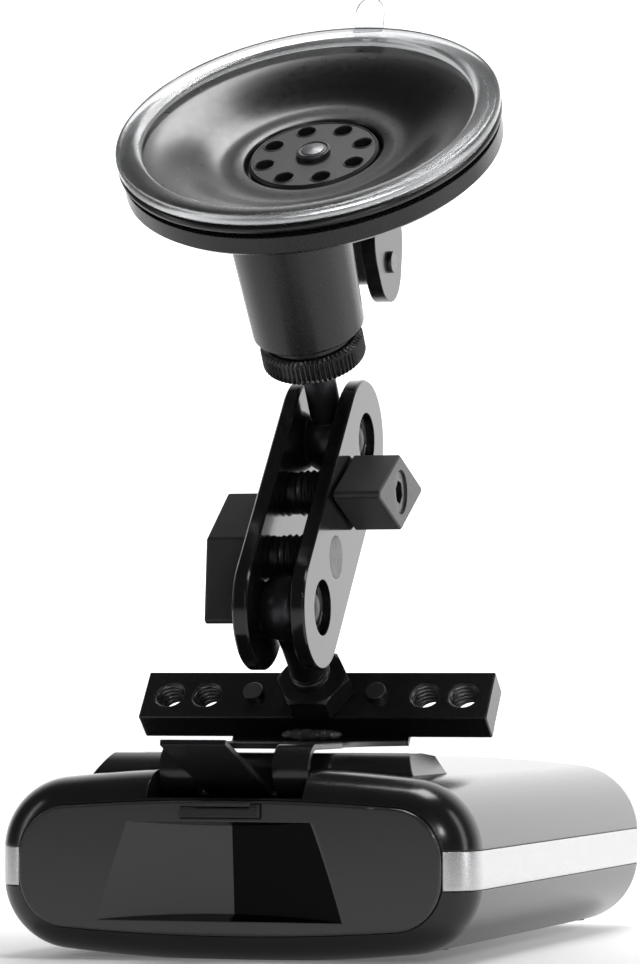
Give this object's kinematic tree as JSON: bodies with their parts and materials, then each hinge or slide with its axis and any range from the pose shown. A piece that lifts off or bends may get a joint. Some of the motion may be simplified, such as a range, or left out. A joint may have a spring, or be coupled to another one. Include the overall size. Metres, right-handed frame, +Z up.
{
  "type": "windscreen radar and laser detector",
  "caption": "Slim windscreen radar and laser detector hung from a lever suction cup by a clamped double-ball arm and a drilled cross bar.",
  "frame": {"origin": "middle of the flat base of the detector housing", "axes": "+Z up, -Y out of the sensor face towards the road, +X to the right when facing the sensor face"},
  "size_m": [0.0894, 0.1518, 0.1828],
  "materials": {
    "case_plastic": "moulded gloss black with a soft sheen",
    "panel_plastic": "polished smoked black, dark to infrared",
    "silver_trim": "satin silver",
    "black_plastic": "fine matt",
    "key_rubber": "soft matt",
    "screw_steel": "blackened",
    "circuit_board": "green solder mask",
    "horn_metal": "cast",
    "lens_glass": "coated",
    "patch_ceramic": "unglazed",
    "black_metal": "satin black",
    "plate_metal": "gloss black",
    "black_oxide": "black oxide",
    "adhesive": "rough bead",
    "knob_plastic": "fine matt",
    "post_plastic": "satin",
    "cup_rubber": "smooth",
    "clear_gel": "clear and tacky"
  },
  "bodies": {
    "detector": {"lower_case": "case_plastic", "upper_case": "case_plastic", "side_band_left": "silver_trim", "side_band_right": "silver_trim", "case_screws": "screw_steel", "front_panel": "panel_plastic", "antenna_cover": "case_plastic", "main_board": "circuit_board", "horn_antenna": "horn_metal", "laser_sensor": "black_plastic", "laser_lens": "lens_glass", "gps_antenna": "patch_ceramic", "speaker": "black_plastic", "display_window": "panel_plastic", "display_module": "black_plastic", "power_jack": "black_plastic"},
    "release": {"release_button": "black_plastic"},
    "key_1": {"button_1": "key_rubber"},
    "key_2": {"button_2": "key_rubber"},
    "key_3": {"button_3": "key_rubber"},
    "key_4": {"button_4": "key_rubber"},
    "bracket": {"mount_bracket": "black_metal", "bonding_bead": "adhesive", "cross_bar": "black_metal", "bracket_screws": "screw_steel"},
    "nut": {"jam_nut": "black_oxide"},
    "lower_stud": {"lower_ball_stud": "black_oxide"},
    "arm": {"arm_plate_left": "plate_metal", "arm_plate_right": "plate_metal"},
    "upper_clamp": {"upper_clamp_screw": "black_oxide", "upper_knob": "knob_plastic"},
    "lower_clamp": {"lower_clamp_screw": "black_oxide", "lower_knob": "knob_plastic"},
    "upper_stud": {"upper_ball_stud": "black_oxide"},
    "ring": {"lock_ring": "black_metal"},
    "cup": {"post": "post_plastic", "cup_dish": "post_plastic", "suction_cup": "cup_rubber", "gel_pad": "clear_gel"},
    "plunger": {"hub_insert": "black_plastic", "plunger_rod": "screw_steel", "lever_pin": "screw_steel"},
    "lever": {"cam_lever": "black_metal"}
  },
  "joints": [
    {"name": "bracket_slide", "type": "slide", "parent": "detector", "child": "bracket", "axis": [0, -1, 0], "range_m": [0, 0.012]},
    {"name": "release_press", "type": "slide", "parent": "detector", "child": "release", "axis": [0, 1, 0], "range_m": [0, 0.0012], "stiffness_N_per_m": 400},
    {"name": "key_1_press", "type": "slide", "parent": "detector", "child": "key_1", "axis": [0, -1, 0], "range_m": [0, 0.0006], "stiffness_N_per_m": 500},
    {"name": "key_2_press", "type": "slide", "parent": "detector", "child": "key_2", "axis": [0, -1, 0], "range_m": [0, 0.0006], "stiffness_N_per_m": 500},
    {"name": "key_3_press", "type": "slide", "parent": "detector", "child": "key_3", "axis": [0, -1, 0], "range_m": [0, 0.0006], "stiffness_N_per_m": 500},
    {"name": "key_4_press", "type": "slide", "parent": "detector", "child": "key_4", "axis": [0, -1, 0], "range_m": [0, 0.0006], "stiffness_N_per_m": 500},
    {"name": "lower_stud_swivel", "type": "hinge", "parent": "bracket", "child": "lower_stud", "pos_m": [0, -0.0142, 0.0468], "axis": [0, -0.7749, 0.632], "range_deg": [-25, 25]},
    {"name": "nut_turn", "type": "hinge", "parent": "lower_stud", "child": "nut", "pos_m": [0, -0.0142, 0.0468], "axis": [0, -0.7749, 0.632], "continuous": true},
    {"name": "arm_swing", "type": "hinge", "parent": "lower_stud", "child": "arm", "pos_m": [0, -0.03396, 0.06292], "axis": [1, 0, 0], "range_deg": [-30, 30]},
    {"name": "upper_clamp_turn", "type": "hinge", "parent": "arm", "child": "upper_clamp", "pos_m": [0, -0.01476, 0.08478], "axis": [1, 0, 0], "range_deg": [-180, 180]},
    {"name": "lower_clamp_turn", "type": "hinge", "parent": "arm", "child": "lower_clamp", "pos_m": [0, -0.02565, 0.07238], "axis": [-1, 0, 0], "range_deg": [-180, 180]},
    {"name": "cup_tilt", "type": "hinge", "parent": "arm", "child": "upper_stud", "pos_m": [0, -0.00565, 0.09515], "axis": [1, 0, 0], "range_deg": [-42, 11]},
    {"name": "lock_ring_turn", "type": "hinge", "parent": "upper_stud", "child": "ring", "pos_m": [0, -0.00565, 0.09515], "axis": [0, -0.5807, 0.8141], "continuous": true},
    {"name": "cup_swivel", "type": "hinge", "parent": "upper_stud", "child": "cup", "pos_m": [0, -0.00565, 0.09515], "axis": [0, -0.5807, 0.8141], "range_deg": [-60, 60]},
    {"name": "plunger_slide", "type": "slide", "parent": "cup", "child": "plunger", "axis": [0, -0.5807, 0.8141], "range_m": [0, 0.004]},
    {"name": "lever_cam", "type": "hinge", "parent": "plunger", "child": "lever", "pos_m": [0, -0.00339, 0.12918], "axis": [-1, 0, 0], "range_deg": [0, 90]}
  ],
  "couplings": [
    {"joint": "lever_cam", "follows": "plunger_slide", "rad_per_m": 392.69}
  ]
}
